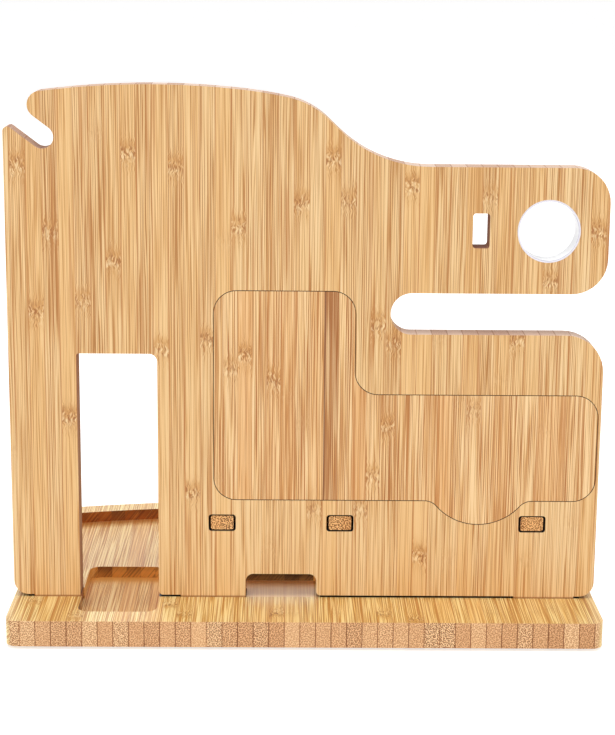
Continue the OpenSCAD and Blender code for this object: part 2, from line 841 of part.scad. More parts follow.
// A part on the circuit board: its place from the board's middle, and its size as
// width, height and thickness
module on_board(place, size, r = 0.2) {
  x = pcb_x + place[0];
  z = pcb_z + place[1];
  plate(pcb_face - seat - size[2], size[2])
    polygon(rounded(rect_corners(
      x - size[0] / 2, x + size[0] / 2, z - size[1] / 2, z + size[1] / 2, r)));
}

module power_inductor() {
  color("dimgray")
    on_board(inductor_place, inductor_size, inductor_r);
}

module control_chip() {
  color("darkslategray")
    on_board(control_place, control_size);
}

module bridge_chips() {
  color("darkslategray")
    for (place = bridge_places)
      on_board(place, bridge_size);
}

module resonant_capacitors() {
  color("tan")
    for (place = resonant_places)
      on_board(place, capacitor_size);
}

module input_capacitors() {
  color("goldenrod")
    for (place = input_places)
      on_board(place, capacitor_size);
}

module phone_shelf() {
  x0 = -shelf_x - shelf_w / 2;
  x1 = -shelf_x + shelf_w / 2;
  y0 = shelf_rear_y - shelf_depth;
  bottom_z = deck_z + peg_z - shelf_t / 2;
  peg_root = shelf_rear_y - over;
  color("burlywood")
    union() {
      difference() {
        translate([0, 0, bottom_z])
          linear_extrude(shelf_t + lip_h)
            polygon(rounded([
              [x0, y0, shelf_r],
              [x1, y0, shelf_r],
              [x1, shelf_rear_y, 0],
              [x0, shelf_rear_y, 0]
            ]));
        translate([x0 - over, y0 + lip_t, bottom_z + shelf_t])
          cube([shelf_w + 2 * over, shelf_depth, lip_h + over]);
      }
      for (x = peg_xs)
        plate(peg_recess, board_rear_y - peg_recess - peg_root)
          polygon(rounded(rect_corners(
            x - peg_w / 2, x + peg_w / 2, peg_z - peg_h / 2, peg_z + peg_h / 2, peg_r)));
    }
}

base_tray();
rubber_feet();
upright_board();
charger_cover();
puck_liner();
phone_coil();
phone_ferrite();
phone_foam();
phone_leads();
buds_coil();
buds_ferrite();
buds_foam();
buds_leads();
circuit_board();
board_screws();
socket_shell();
socket_tongue();
power_inductor();
control_chip();
bridge_chips();
resonant_capacitors();
input_capacitors();
phone_shelf();
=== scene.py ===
import math

import bpy
from mathutils import Matrix, Vector


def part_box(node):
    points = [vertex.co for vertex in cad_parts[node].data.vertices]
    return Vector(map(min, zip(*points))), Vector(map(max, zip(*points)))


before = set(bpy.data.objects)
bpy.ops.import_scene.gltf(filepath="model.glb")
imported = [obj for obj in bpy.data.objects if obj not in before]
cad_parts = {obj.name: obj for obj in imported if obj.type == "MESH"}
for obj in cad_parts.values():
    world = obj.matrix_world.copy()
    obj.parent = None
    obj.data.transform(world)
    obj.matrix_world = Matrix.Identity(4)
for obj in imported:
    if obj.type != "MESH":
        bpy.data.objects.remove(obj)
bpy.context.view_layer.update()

# Camera, fitted to the outlines in the photograph. It looks along -Y, a little down.
FOCAL_PX = 1865.5
LONG_SIDE_PX = 735
SENSOR_MM = 36
PITCH, YAW, ROLL = (math.radians(a) for a in (12.79, 0.77, 0.54))
CAMERA_AT = Vector((0.01167, 0.96200, 0.34070))


def make_camera():
    data = bpy.data.cameras.new("photo_camera")
    data.sensor_width = SENSOR_MM
    data.lens = FOCAL_PX * data.sensor_width / LONG_SIDE_PX
    data.clip_start, data.clip_end = 0.05, 100
    flat = math.cos(PITCH)
    forward = Vector((-math.sin(YAW) * flat, -math.cos(YAW) * flat, -math.sin(PITCH)))
    level = Vector((-math.cos(YAW), math.sin(YAW), 0))
    up = level.cross(forward)
    right = math.cos(ROLL) * level + math.sin(ROLL) * up
    up = math.cos(ROLL) * up - math.sin(ROLL) * level
    cam = bpy.data.objects.new("photo_camera", data)
    turned = Matrix((right, up, -forward)).transposed().to_4x4()
    cam.matrix_world = Matrix.Translation(CAMERA_AT) @ turned
    bpy.context.scene.collection.objects.link(cam)
    bpy.context.scene.camera = cam


# Materials
def srgb(r, g, b):
    """Linear colour from 0-255 display values."""
    def one(v):
        v /= 255
        return v / 12.92 if v <= 0.04045 else ((v + 0.055) / 1.055) ** 2.4
    return (one(r), one(g), one(b), 1)


class Tree:
    """Short ways to build one node material."""

    def __init__(self, name):
        self.mat = bpy.data.materials.new(name)
        self.mat.use_nodes = True
        self.t = self.mat.node_tree
        self.bsdf = self.t.nodes["Principled BSDF"]

    def node(self, kind, **settings):
        n = self.t.nodes.new(kind)
        for k, v in settings.items():
            setattr(n, k, v)
        return n

    def put(self, socket, value):
        if isinstance(value, bpy.types.NodeSocket):
            self.t.links.new(value, socket)
        elif value is not None:
            socket.default_value = value

    def math(self, op, a, b=None, c=None, clamp=False):
        n = self.node("ShaderNodeMath", operation=op, use_clamp=clamp)
        for s, v in zip(n.inputs, (a, b, c)):
            self.put(s, v)
        return n.outputs[0]

    def mul(self, a, b):
        return self.math("MULTIPLY", a, b)

    def add(self, a, b):
        return self.math("ADD", a, b)

    def mad(self, a, b, c):
        """a times b plus c"""
        return self.math("MULTIPLY_ADD", a, b, c)

    def about(self, value, share, middle):
        """middle plus a share of how far a value lies from 0.5"""
        return self.mad(self.math("SUBTRACT", value, 0.5), share, middle)

    def size(self, value):
        return self.math("ABSOLUTE", value)

    def distance(self, x, y, from_x, from_y):
        """How far a point lies from a middle, in a plane."""
        dx = self.math("SUBTRACT", x, from_x)
        dy = self.math("SUBTRACT", y, from_y)
        return self.math("SQRT", self.add(self.mul(dx, dx), self.mul(dy, dy)))

    def step(self, value, lo, hi):
        """0 below lo, 1 above hi, smooth between. lo may be above hi."""
        n = self.node("ShaderNodeMapRange", interpolation_type="SMOOTHSTEP")
        self.put(n.inputs["Value"], value)
        if lo < hi:
            n.inputs["From Min"].default_value, n.inputs["From Max"].default_value = lo, hi
        else:
            n.inputs["From Min"].default_value, n.inputs["From Max"].default_value = hi, lo
            n.inputs["To Min"].default_value, n.inputs["To Max"].default_value = 1, 0
        return n.outputs[0]

    def vec(self, x, y, z):
        n = self.node("ShaderNodeCombineXYZ")
        for s, v in zip(n.inputs, (x, y, z)):
            self.put(s, v)
        return n.outputs[0]

    def xyz(self, v):
        n = self.node("ShaderNodeSeparateXYZ")
        self.put(n.inputs[0], v)
        return n.outputs

    def noise(self, v, scale=1.0, detail=2.0, rough=0.5, distortion=0.0):
        n = self.node("ShaderNodeTexNoise")
        self.put(n.inputs["Vector"], v)
        n.inputs["Scale"].default_value = scale
        n.inputs["Detail"].default_value = detail
        n.inputs["Roughness"].default_value = rough
        n.inputs["Distortion"].default_value = distortion
        return n.outputs["Fac"]

    def mix(self, fac, a, b, blend="MIX"):
        n = self.node("ShaderNodeMix", data_type="RGBA", blend_type=blend, clamp_factor=True)
        self.put(n.inputs[0], fac)
        self.put(n.inputs[6], a)
        self.put(n.inputs[7], b)
        return n.outputs[2]

    def blend(self, fac, a, b):
        """A number between a and b."""
        n = self.node("ShaderNodeMix", data_type="FLOAT")
        for place, value in ((0, fac), (2, a), (3, b)):
            self.put(n.inputs[place], value)
        return n.outputs[0]

    def ramp(self, value, stops):
        """A colour along a row of (place, colour) stops."""
        n = self.node("ShaderNodeValToRGB")
        self.put(n.inputs[0], value)
        elements = n.color_ramp.elements
        while len(elements) < len(stops):
            elements.new(0.5)
        for element, (place, color) in zip(elements, stops):
            element.position = place
            element.color = color
        return n.outputs[0]

    def bump(self, height, distance):
        n = self.node("ShaderNodeBump")
        self.put(n.inputs["Height"], height)
        n.inputs["Distance"].default_value = distance
        self.put(self.bsdf.inputs["Normal"], n.outputs[0])

    def finish(self, color, rough, coat=0.0, metal=0.0, specular=0.5):
        self.put(self.bsdf.inputs["Base Color"], color)
        self.put(self.bsdf.inputs["Roughness"], rough)
        self.bsdf.inputs["Metallic"].default_value = metal
        self.bsdf.inputs["Specular IOR Level"].default_value = specular
        self.bsdf.inputs["Coat Weight"].default_value = coat
        self.bsdf.inputs["Coat Roughness"].default_value = 0.3
        return self.mat


# Sizes in mm, but for the liner's.
MM_PER_M = 1000
# Width of a bamboo strip and of the cover's narrower ones, half the width of a glue line and of its middle
STRIP, COVER_STRIP = 7.68, 7.16
GLUE_HALF, GLUE_CORE = 0.36, 0.12
# How far apart a strip's knots are, and how strong one is where none is listed
KNOT_CYCLE = 240.0
FAINT_KNOT = 0.12
# Half the base's width, the deck's height, half the standing pocket's depth, and the front rim's height
BASE_HALF_W = 148.0
DECK_Z = 14.7
POCKET_Z = DECK_Z - 3.0
RIM_H = 6.0
# The arc that the front rim's inner wall follows
ARC_R, ARC_Y = 545.6, 464.1
# The upright board's front face and middle, and the strip of deck under it that is painted dark as its
# shadow: half its depth and length
BOARD_FRONT = 44.0
BOARD_MID = BOARD_FRONT + 6.5
SHADOW_HALF_D, SHADOW_HALF_L = 6.3, 141.0
# The cable notch, and the part of the tray that shows through it
NOTCH_X, NOTCH_W = 13.0, 36.0
SEEN_Y, SEEN_D = 44.0, 25.6
# Radius of the liner's bore in metres
LINER_BORE_R = 0.01455


class Strips(Tree):
    """Bamboo strips side by side along one axis, with end grain on the faces across it."""

    def __init__(self, name, grain, start, seed, look, width):
        super().__init__(name)
        self.look, self.start, self.width = look, start, width
        coord = self.node("ShaderNodeTexCoord")
        mm = self.node("ShaderNodeVectorMath", operation="SCALE")
        self.put(mm.inputs[0], coord.outputs["Object"])
        mm.inputs["Scale"].default_value = MM_PER_M
        self.x, self.y, self.z = self.xyz(mm.outputs[0])
        nx, self.ny, self.nz = self.xyz(coord.outputs["Normal"])
        if grain == "Z":
            self.along, self.thick, self.n_along, n_thick = self.z, self.y, self.nz, self.ny
        else:
            self.along, self.thick, self.n_along, n_thick = self.y, self.z, self.ny, self.nz
        # Faces across the grain, faces across the strips, and all walls between the two broad faces
        self.is_end = self.step(self.size(self.n_along), 0.60, 0.85)
        self.is_side = self.step(self.size(nx), 0.5, 0.8)
        self.is_wall = self.step(self.size(n_thick), 0.9, 0.5)
        # Number of the strip, place in it from 0 to 1, four random values and a noise lane of its own
        at = self.math("DIVIDE", self.math("SUBTRACT", self.x, start), width)
        self.strip, self.part = self.math("FLOOR", at), self.math("FRACT", at)
        white = self.node("ShaderNodeTexWhiteNoise", noise_dimensions="1D")
        self.put(white.inputs["W"], self.add(self.strip, seed))
        self.r1 = white.outputs["Value"]
        self.r2, self.r3, self.r4 = self.xyz(white.outputs["Color"])
        self.lane = self.mul(self.strip, 17.3)

    def is_strip(self, x):
        """1 in the strip that holds x, else 0."""
        return self.math("COMPARE", self.strip, math.floor((x - self.start) / self.width), 0.5)

    def find_knots(self, places):
        """Each strip has a knot every cycle: a strong one where it is listed, else a faint one anywhere."""
        knot_at = self.mul(self.r3, KNOT_CYCLE)
        strength = FAINT_KNOT
        for x, along in places:
            here = self.is_strip(x)
            knot_at = self.blend(here, knot_at, along)
            strength = self.math("MAXIMUM", strength, self.mul(here, self.mad(self.r4, 0.5, 0.6)))
        ragged = self.noise(self.vec(self.mul(self.x, 0.45), 0.0, self.lane), detail=1)
        off = self.math("WRAP", self.math("SUBTRACT", self.along, knot_at), KNOT_CYCLE / 2, -KNOT_CYCLE / 2)
        off = self.about(ragged, 9.0, off)
        self.near = self.mul(self.step(self.size(off), 13.0, 2.0), strength)
        self.core = self.mul(self.step(self.size(off), 4.0, 1.5), strength)
        self.above = self.mul(self.mul(self.step(off, -1.0, 1.5), self.step(off, 8.0, 3.5)), strength)
        self.below = self.mul(self.mul(self.step(off, 1.0, -1.5), self.step(off, -8.0, -3.5)), strength)

    def streaks(self, per_mm, stretch, offset, detail=0):
        """Long fibres of about 1 / per_mm in width."""
        far = self.mad(self.along, stretch, self.mul(self.r2, 400.0))
        place = self.vec(self.mul(self.across, per_mm), far, self.add(self.lane, offset))
        return self.noise(place, detail=detail)

    def fibres(self):
        """Colour of the faces along the grain, from layers of tone. The fibres sway beside a knot."""
        look = self.look
        sway = self.noise(self.vec(self.mul(self.x, 0.4), self.mul(self.along, 0.28), self.lane), detail=1)
        bent = self.about(sway, self.mul(self.near, 3.0), self.x)
        self.across = self.mad(self.thick, 0.8, bent)
        self.fine = self.streaks(3.1, 0.018, 0.0, 1)
        self.middling = self.streaks(0.9, 0.012, 3.0)
        broad = self.streaks(0.22, 0.006, 9.0)
        thin = self.streaks(1.7, 0.010, 5.0)
        tone = self.about(self.r1, look["strip_tone"], 0.5)
        tone = self.about(broad, look["broad"], tone)
        # Paler towards the foot: painted light
        tone = self.mad(self.step(self.along, 170.0, 30.0), look["painted_foot_light"], tone)
        tone = self.about(self.middling, look["middling"], tone)
        tone = self.about(self.fine, look["fine"], tone)
        ribs = self.math("SINE", self.mad(self.across, 7.0, self.mul(self.middling, 16.0)))
        tone = self.mad(ribs, look["ribs"], tone)
        color = self.ramp(tone, look["ramp"])
        color = self.mix(self.mul(self.step(self.r4, 0.45, 1.0), 0.40), color, look["warm"])
        return self.mix(self.mul(self.step(thin, 0.64, 0.70), look["lines"]), color, look["line"])

    def draw_knots(self, color):
        """Dark and light dashes at the joint, a browner patch above it and a paler one below."""
        look = self.look
        place = self.vec(self.mul(self.across, 1.2), self.mul(self.along, 0.33), self.lane)
        dashes = self.noise(place, detail=1, rough=0.6, distortion=0.5)
        dark, light = self.step(dashes, 0.49, 0.38), self.step(dashes, 0.52, 0.62)
        color = self.mix(self.mul(self.near, 0.30), color, look["knot"])
        color = self.mix(self.mul(self.above, 0.50), color, look["knot"])
        color = self.mix(self.mul(self.above, self.mul(dark, 0.45)), color, look["stroke"])
        color = self.mix(self.mul(self.below, self.mul(light, 0.30)), color, look["glint"])
        color = self.mix(self.mul(self.core, self.mul(dark, 0.80)), color, look["stroke"])
        color = self.mix(self.mul(self.core, self.mul(light, 0.50)), color, look["glint"])
        tails = self.mul(self.near, self.step(self.fine, 0.46, 0.34))
        return self.mix(self.mul(tails, 0.40), color, look["stroke"])

    def draw_glue(self, color):
        """Thin darker lines between the strips, which come and go along the grain."""
        edge = self.mul(self.math("MINIMUM", self.part, self.math("SUBTRACT", 1.0, self.part)), self.width)
        not_side = self.math("SUBTRACT", 1.0, self.is_side)
        self.line = self.mul(self.step(edge, GLUE_HALF, GLUE_CORE), not_side)
        fade = self.noise(self.vec(self.mul(self.along, 0.02), self.lane, 2.0), detail=1)
        shown = self.mul(self.step(fade, 0.34, 0.55), self.mad(self.r4, 0.6, 0.45))
        return self.mix(self.mul(self.mul(self.line, shown), 0.9), color, self.look["line"])

    def darken_strip(self, color, x, low, high):
        """One strip of darker, smokier wood, darkest at its upper end and along one edge."""
        smoky = self.mad(self.step(self.along, low, high), 0.50, 0.50)
        smoky = self.about(self.fine, -2.4, self.about(self.middling, 0.8, smoky))
        here = self.is_strip(x)
        color = self.mix(self.mul(here, smoky), color, self.look["dark_strip"])
        outer = self.mul(self.step(self.part, 0.86, 0.93), self.mad(self.r4, 0.2, 0.7))
        return self.mix(self.mul(here, outer), color, self.look["smoke"])

    def end_grain(self):
        """Cut fibre bundles, in some strips rougher than in others, with glue lines between them."""
        look = self.look
        per_mm = look["end_grain"]
        place = self.vec(self.mad(self.x, per_mm, self.lane), self.mul(self.thick, per_mm), 0.0)
        cells = self.node("ShaderNodeTexVoronoi", voronoi_dimensions="2D")
        self.put(cells.inputs["Vector"], place)
        cells.inputs["Scale"].default_value = 1.0
        bundles = self.step(cells.outputs["Distance"], 0.15, 0.60)
        contrast = self.mul(self.mad(self.math("POWER", self.r3, 3.0), 1.1, 0.5), look["end_contrast"])
        tone = self.mad(self.math("SUBTRACT", bundles, 0.5), contrast, 0.52)
        tone = self.about(self.r1, look["end_strips"], tone)
        tone = self.mad(self.mul(self.line, self.add(bundles, 0.3)), look["end_lines"], tone)
        return self.ramp(tone, look["end_ramp"])

    def in_box(self, x, z, w, h):
        """1 inside a box given by its middle, width and height, else 0."""
        across = self.math("COMPARE", self.x, x, w / 2)
        return self.mul(across, self.math("COMPARE", self.z, z, h / 2))

    def seal(self, color, dull):
        """The satin lacquer, which cut end grain and routed faces drink in."""
        fibre = self.mul(self.step(self.fine, 0.50, 0.35), -0.3)
        self.bump(self.mad(self.line, -0.6, fibre), 0.00008)
        rough = self.blend(dull, self.mad(self.fine, 0.16, self.look["rough"]), 0.9)
        return self.finish(color, rough)


def burn_and_shade_board(m, color, end):
    """Walls of the slots and the window browned by the router and partly painted as shade, walls of the seats
    painted dark as the shade in their gaps, and a painted contact shadow along the foot.
    """
    look = m.look
    dull = m.is_end
    # Slot walls browned, partly as painted shade
    for x, z, w, h, share in SLOTS:
        wall = m.in_box(x, z, w, h)
        end = m.mix(m.mul(wall, share), end, look["slot_burn_and_shade"])
        color = m.mix(m.mul(m.mul(m.is_side, wall), share), color, look["slot_burn_and_shade"])
        dull = m.math("MAXIMUM", dull, m.mul(m.is_side, wall))
    # Seat walls painted dark as the shade in the gaps
    for x, z, w, h in SHADED_SEATS:
        wall = m.mul(m.in_box(x, z, w, h), m.is_wall)
        color = m.mix(wall, color, look["char_and_shade"])
        end = m.mix(wall, end, look["char_and_shade"])
        dull = m.math("MAXIMUM", dull, wall)
    # A painted contact shadow along the board's foot, in the knots' stroke colour
    foot = m.step(m.z, DECK_Z + 1.0, DECK_Z + 0.4)
    return m.mix(m.mul(foot, 0.75), color, look["stroke"]), end, dull


def burn_and_shade_tray(m, color, end):
    """Routed walls are browned where they cross the grain, partly as painted shade, and the floors beside
    them are painted darker as the shade at the walls' feet.
    """
    look = m.look
    outward = m.mul(m.math("SIGN", m.n_along), m.along)
    in_pocket = m.step(m.along, -50.0, 0.0)
    burn_and_shade = m.mix(in_pocket, look["rim_burn_and_shade"], look["pocket_burn_and_shade"])
    # Darker towards the top of a wall, by strips and by streaks, and painted darkest behind the cable notch,
    # as the shade under the board
    to_top = m.blend(m.step(m.z, DECK_Z + 0.1, DECK_Z - 0.1), DECK_Z + RIM_H, DECK_Z)
    near_top = m.step(m.math("SUBTRACT", to_top, m.z), RIM_H, 0.0)
    burn_and_shade = m.mix(m.about(m.r1, 1.2, m.mad(near_top, 0.50, -0.05)), burn_and_shade, look["char_and_shade"])
    burn_and_shade = m.mix(m.mul(m.step(m.middling, 0.55, 0.35), 0.50), burn_and_shade, look["char_and_shade"])
    burn_and_shade = m.mix(m.mul(m.step(m.fine, 0.50, 0.60), 0.25), burn_and_shade, look["pocket_burn_and_shade"])
    across_notch = m.math("COMPARE", m.x, NOTCH_X, NOTCH_W / 2)
    at_notch = m.mul(across_notch, m.math("COMPARE", m.y, SEEN_Y, SEEN_D / 2))
    # Painted shade on the wall seen through the cable notch
    burn_and_shade = m.mix(m.mul(at_notch, m.mad(near_top, 0.35, 0.60)), burn_and_shade, CHAR_AND_SHADE)
    # The outer faces, which look away from the middle and lie farther out, stay bare
    end = m.mix(m.step(outward, 62.0, 58.0), end, burn_and_shade)
    # Floor in front: painted shade of the board in the bays, and painted shade along the foot of the rim
    from_arc = m.distance(m.x, m.y, 0.0, ARC_Y)
    low = m.step(m.z, DECK_Z + 3.0, DECK_Z + 1.0)
    low = m.mul(low, m.step(m.nz, 0.5, 0.8))
    foot = m.mul(m.step(from_arc, ARC_R - 14.0, ARC_R), low)
    color = m.mix(m.mul(low, m.step(m.y, 20.0, 10.0)), color, look["bay_shade"], blend="MULTIPLY")
    color = m.mix(m.mul(foot, 0.7), color, look["rim_burn_and_shade"])
    # Floor of the standing pocket, tinted, and painted darker at its front end as the shade at the foot of
    # the wall there
    floor = m.mul(m.step(m.z, POCKET_Z + 1.0, POCKET_Z - 1.0), m.step(m.nz, 0.5, 0.8))
    color = m.mix(floor, color, look["pocket_tint"], blend="MULTIPLY")
    color = m.mix(m.mul(floor, m.step(m.along, 24.0, 11.0)), color, look["pocket_burn_and_shade"])
    # Walls along the grain but for the base's own sides, browned and partly painted as shade, and painted
    # dark at the standing pocket's rear end as the shade in that corner
    inner_side = m.mul(m.is_side, m.step(m.size(m.x), BASE_HALF_W - 2.0, BASE_HALF_W - 3.0))
    color = m.mix(m.mul(inner_side, 0.7), color, look["pocket_burn_and_shade"])
    rear_end = m.mul(m.step(m.along, 50.0, 72.0), m.step(m.x, 0.0, 1.0))
    color = m.mix(m.mul(inner_side, rear_end), color, look["char_and_shade"])
    # Deck in the cable notch painted in a pinkish tone for the shade under the board, with more of it towards
    # the step as painted light against the darkening there, and the deck under the board beside it painted
    # near black as the board's shadow
    by_step = m.step(m.y, 46.0, 33.0)
    color = m.mix(m.mul(at_notch, m.mad(by_step, 0.25, 0.65)), color, look["notch_shade_and_light"])
    beside = m.math("SUBTRACT", 1.0, m.math("COMPARE", m.x, NOTCH_X, NOTCH_W / 2 + 3.0))
    under = m.mul(m.math("COMPARE", m.y, BOARD_MID, SHADOW_HALF_D), beside)
    level = m.mul(m.math("COMPARE", m.z, DECK_Z, 0.3), m.math("COMPARE", m.x, 0.0, SHADOW_HALF_L))
    # Painted shadow of the board on the deck under it
    color = m.mix(m.mul(under, level), color, CHAR_AND_SHADE)
    return color, end, m.math("MAXIMUM", m.is_end, m.mul(floor, 0.5))


def char_and_shade_rim(m, color, end):
    """The cover's rim, charred by the laser that cut it and painted darker still as the shade in the gap
    around it.
    """
    rim = m.step(m.size(m.ny), 0.98, 0.85)
    return m.mix(rim, color, m.look["char_and_shade"]), m.mix(rim, end, m.look["char_and_shade"]), rim


def shade_tenons(m, color, end):
    """Sides of the through tenons, painted dark as the shade in the mortises around them."""
    side = m.mul(m.step(m.y, BOARD_FRONT + 1.0, BOARD_FRONT + 2.0), m.step(m.size(m.ny), 0.9, 0.6))
    dull = m.math("MAXIMUM", m.is_end, side)
    return m.mix(side, color, m.look["char_and_shade"]), m.mix(side, end, m.look["char_and_shade"]), dull


def bamboo(name, grain, start, seed, look, width=STRIP, knots=(), dark_strip=None, burn_and_shade=None):
    """Wood whose strips run along an axis, with one strip's edge at start."""
    m = Strips(name, grain, start, seed, look, width)
    m.find_knots(knots)
    color = m.draw_glue(m.draw_knots(m.fibres()))
    if dark_strip:
        color = m.darken_strip(color, *dark_strip)
    end, dull = m.end_grain(), m.is_end
    if burn_and_shade:
        color, end, dull = burn_and_shade(m, color, end)
    return m.seal(m.mix(m.is_end, color, end), dull)


def plain(name, color, other, scale, rough, metal=0.0, coat=0.0, spread=0.35,
          stretch=(1, 1, 1), depth=0.00004):
    """A ground colour with a small-scale grain in colour, roughness and relief."""
    m = Tree(name)
    coord = m.node("ShaderNodeTexCoord")
    mm = m.node("ShaderNodeVectorMath", operation="MULTIPLY")
    m.put(mm.inputs[0], coord.outputs["Object"])
    mm.inputs[1].default_value = [MM_PER_M * s for s in stretch]
    grain = m.noise(mm.outputs[0], scale=scale, detail=3, rough=0.6)
    cloud = m.noise(mm.outputs[0], scale=scale * 0.08, detail=2)
    c = m.mix(m.mul(m.step(grain, 0.35, 0.7), spread), color, other)
    c = m.mix(m.mul(m.step(cloud, 0.4, 0.7), spread * 0.6), c, other)
    m.bump(grain, depth)
    return m.finish(c, m.mad(grain, 0.15, rough - 0.07), coat=coat, metal=metal)


def wound(name, cx, cz, pitch):
    """Enamelled wire wound flat about a middle, in the plane of the upright board."""
    m = Tree(name)
    coord = m.node("ShaderNodeTexCoord")
    x, _, z = m.xyz(coord.outputs["Object"])
    radius = m.distance(x, z, cx, cz)
    turn = m.math("FRACT", m.math("DIVIDE", radius, pitch))
    ridge = m.math("SINE", m.mul(turn, math.pi))
    fleck = m.noise(coord.outputs["Object"], scale=900, detail=2)
    # Darker between the turns: painted shade in the grooves between them
    c = m.mix(m.step(ridge, 0.1, 0.8), srgb(86, 38, 18), srgb(190, 112, 66))
    c = m.mix(m.mul(fleck, 0.3), c, srgb(222, 150, 96))
    m.bump(ridge, pitch * 0.35)
    return m.finish(c, 0.32, metal=0.9, coat=0.4)


def wear(node, material):
    """Puts one material on all of a CAD node."""
    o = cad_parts[node]
    if not o.material_slots:
        o.data.materials.append(material)
    for s in o.material_slots:
        s.material = material


def round_edges(node, width, segments=3):
    """Softens a wooden piece's edges, on top of its fixed mesh."""
    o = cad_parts[node]
    weld = o.modifiers.new("weld", "WELD")
    weld.merge_threshold = 0.000005
    bevel = o.modifiers.new("round", "BEVEL")
    bevel.width = width
    bevel.segments = segments
    bevel.limit_method = "ANGLE"
    bevel.angle_limit = math.radians(50)
    bevel.harden_normals = False
    bevel.use_clamp_overlap = True
    bevel.miter_outer = "MITER_ARC"


def liner_plastic(name, x, z, bore_r):
    """White plastic, its bore wall painted whiter and its face ring greyer as painted light and shade, with a
    painted shade line at the rim of its bore on the lower far side.
    """
    m = Tree(name)
    coord = m.node("ShaderNodeTexCoord")
    px, _, pz = m.xyz(coord.outputs["Object"])
    _, ny, _ = m.xyz(coord.outputs["Normal"])
    radius = m.distance(px, pz, x, z)
    face = m.step(m.size(ny), 0.5, 0.8)
    painted_shade_side = m.step(m.math("SUBTRACT", m.add(px, pz), x + z), 0.0, -0.008)
    grain = m.noise(coord.outputs["Object"], scale=2500, detail=2)
    # One plastic in two tones, the wall whiter and the ring greyer: painted light and shade
    wall = m.mix(grain, srgb(250, 250, 250), srgb(242, 243, 246))
    ring = m.mix(grain, srgb(240, 238, 244), srgb(228, 226, 238))
    # A painted shade line at the bore's rim on the lower far side
    ring = m.mix(m.mul(painted_shade_side, m.step(radius, bore_r + 0.0004, bore_r + 0.0001)), ring, srgb(184, 182, 200))
    m.bump(grain, 0.00002)
    return m.finish(m.mix(face, wall, ring), m.mad(grain, 0.15, 0.35), coat=0.1)


def ramp_of(*stops):
    """Stops of a ramp, from (place, red, green, blue) rows."""
    return tuple((place, srgb(*color)) for place, *color in stops)


# The looks of the wood. ramp holds the fibres' colours from dark to light, and strip_tone, broad, middling,
# ribs, fine and painted_foot_light say how far each layer shifts the place on it; painted_foot_light is
# painted light, paler towards the foot. warm, line, knot, stroke and glint are colours laid over it, and
# lines is the share of the thin dark lines. end_ramp and the other values that start with end_ do the same
# for end grain: bundles per mm, contrast, strips and glue lines. Keys with shade in their names hold painted
# shade, in part or whole.
# Near black, for charred edges and for painted shade in gaps and under the board
CHAR_AND_SHADE = srgb(30, 16, 8)
BOARD = dict(
    ramp=ramp_of((0.05, 174, 116, 54), (0.34, 211, 163, 102), (0.55, 227, 186, 128), (0.90, 236, 202, 150)),
    warm=srgb(229, 178, 108), line=srgb(184, 118, 54), lines=0.55,
    knot=srgb(200, 142, 72), stroke=srgb(158, 96, 40), glint=srgb(246, 222, 174),
    char_and_shade=CHAR_AND_SHADE, slot_burn_and_shade=srgb(140, 80, 50),
    end_ramp=ramp_of((0.15, 180, 136, 110), (0.5, 222, 190, 168), (0.85, 238, 216, 200)),
    end_grain=1.5, end_contrast=0.30, end_strips=0.40, end_lines=-0.4,
    painted_foot_light=0.20, strip_tone=0.34, broad=0.06, middling=0.05, ribs=0.42, fine=3.2, rough=0.40)
BASE = dict(
    ramp=ramp_of((0.05, 192, 134, 56), (0.34, 231, 185, 106), (0.55, 246, 211, 133), (0.90, 254, 232, 168)),
    warm=srgb(244, 192, 112), line=srgb(190, 120, 50), lines=0.65,
    knot=srgb(206, 150, 72), stroke=srgb(156, 98, 38), glint=srgb(252, 230, 176),
    char_and_shade=srgb(96, 48, 16),
    end_ramp=ramp_of((0.10, 122, 72, 38), (0.5, 214, 158, 108), (0.9, 242, 204, 156)),
    end_grain=1.5, end_contrast=0.85, end_strips=0.24, end_lines=-0.45,
    rim_burn_and_shade=srgb(172, 92, 28), pocket_burn_and_shade=srgb(230, 164, 80), pocket_tint=srgb(240, 222, 215),
    bay_shade=srgb(246, 236, 233), notch_shade_and_light=srgb(255, 208, 160),
    painted_foot_light=0.0, strip_tone=0.28, broad=0.14, middling=0.32, ribs=0.58, fine=6.4, rough=0.32)
COVER = {
    **BOARD,
    "ramp": ramp_of((0.05, 172, 110, 50), (0.34, 212, 160, 96), (0.55, 228, 184, 124), (0.90, 241, 206, 154)),
    "warm": srgb(226, 166, 100), "dark_strip": srgb(160, 98, 40), "smoke": srgb(112, 62, 22),
    "painted_foot_light": 0.04, "strip_tone": 0.40, "broad": 0.16, "middling": 0.12, "ribs": 0.50, "fine": 4.4,
    "lines": 0.7}
SHELF = {
    **BASE,
    "char_and_shade": CHAR_AND_SHADE, "end_grain": 1.35, "end_contrast": 1.5, "end_lines": -0.05,
    "end_ramp": ramp_of((0.05, 84, 42, 14), (0.5, 186, 122, 64), (0.95, 240, 188, 124))}

# Where the knots of the photographed side lie, as x and height over the table, or x and y on the base
BOARD_KNOTS = (
    (141.5, 235), (134, 162), (126.5, 202), (118.7, 109), (111.3, 168), (95.3, 188), (87.6, 241),
    (72.5, 143), (64.4, 234), (57.4, 70), (48.8, 149), (33.6, 205), (3.2, 218), (-3.6, 62), (-12, 239),
    (-21, 218), (-26, 62), (-36, 157), (-44, 148), (-51.5, 226), (-61.5, 37), (-90, 221), (-105.5, 150),
    (-121, 179), (-143.5, 204))
COVER_KNOTS = ((39, 134), (31.6, 141), (16.8, 128), (-40, 105), (-85, 114), (-34.6, 79))
BASE_KNOTS = ((60, 82), (67.8, 68), (137, 64), (116, 85), (13, 80), (-39.6, 80), (-55, 88))
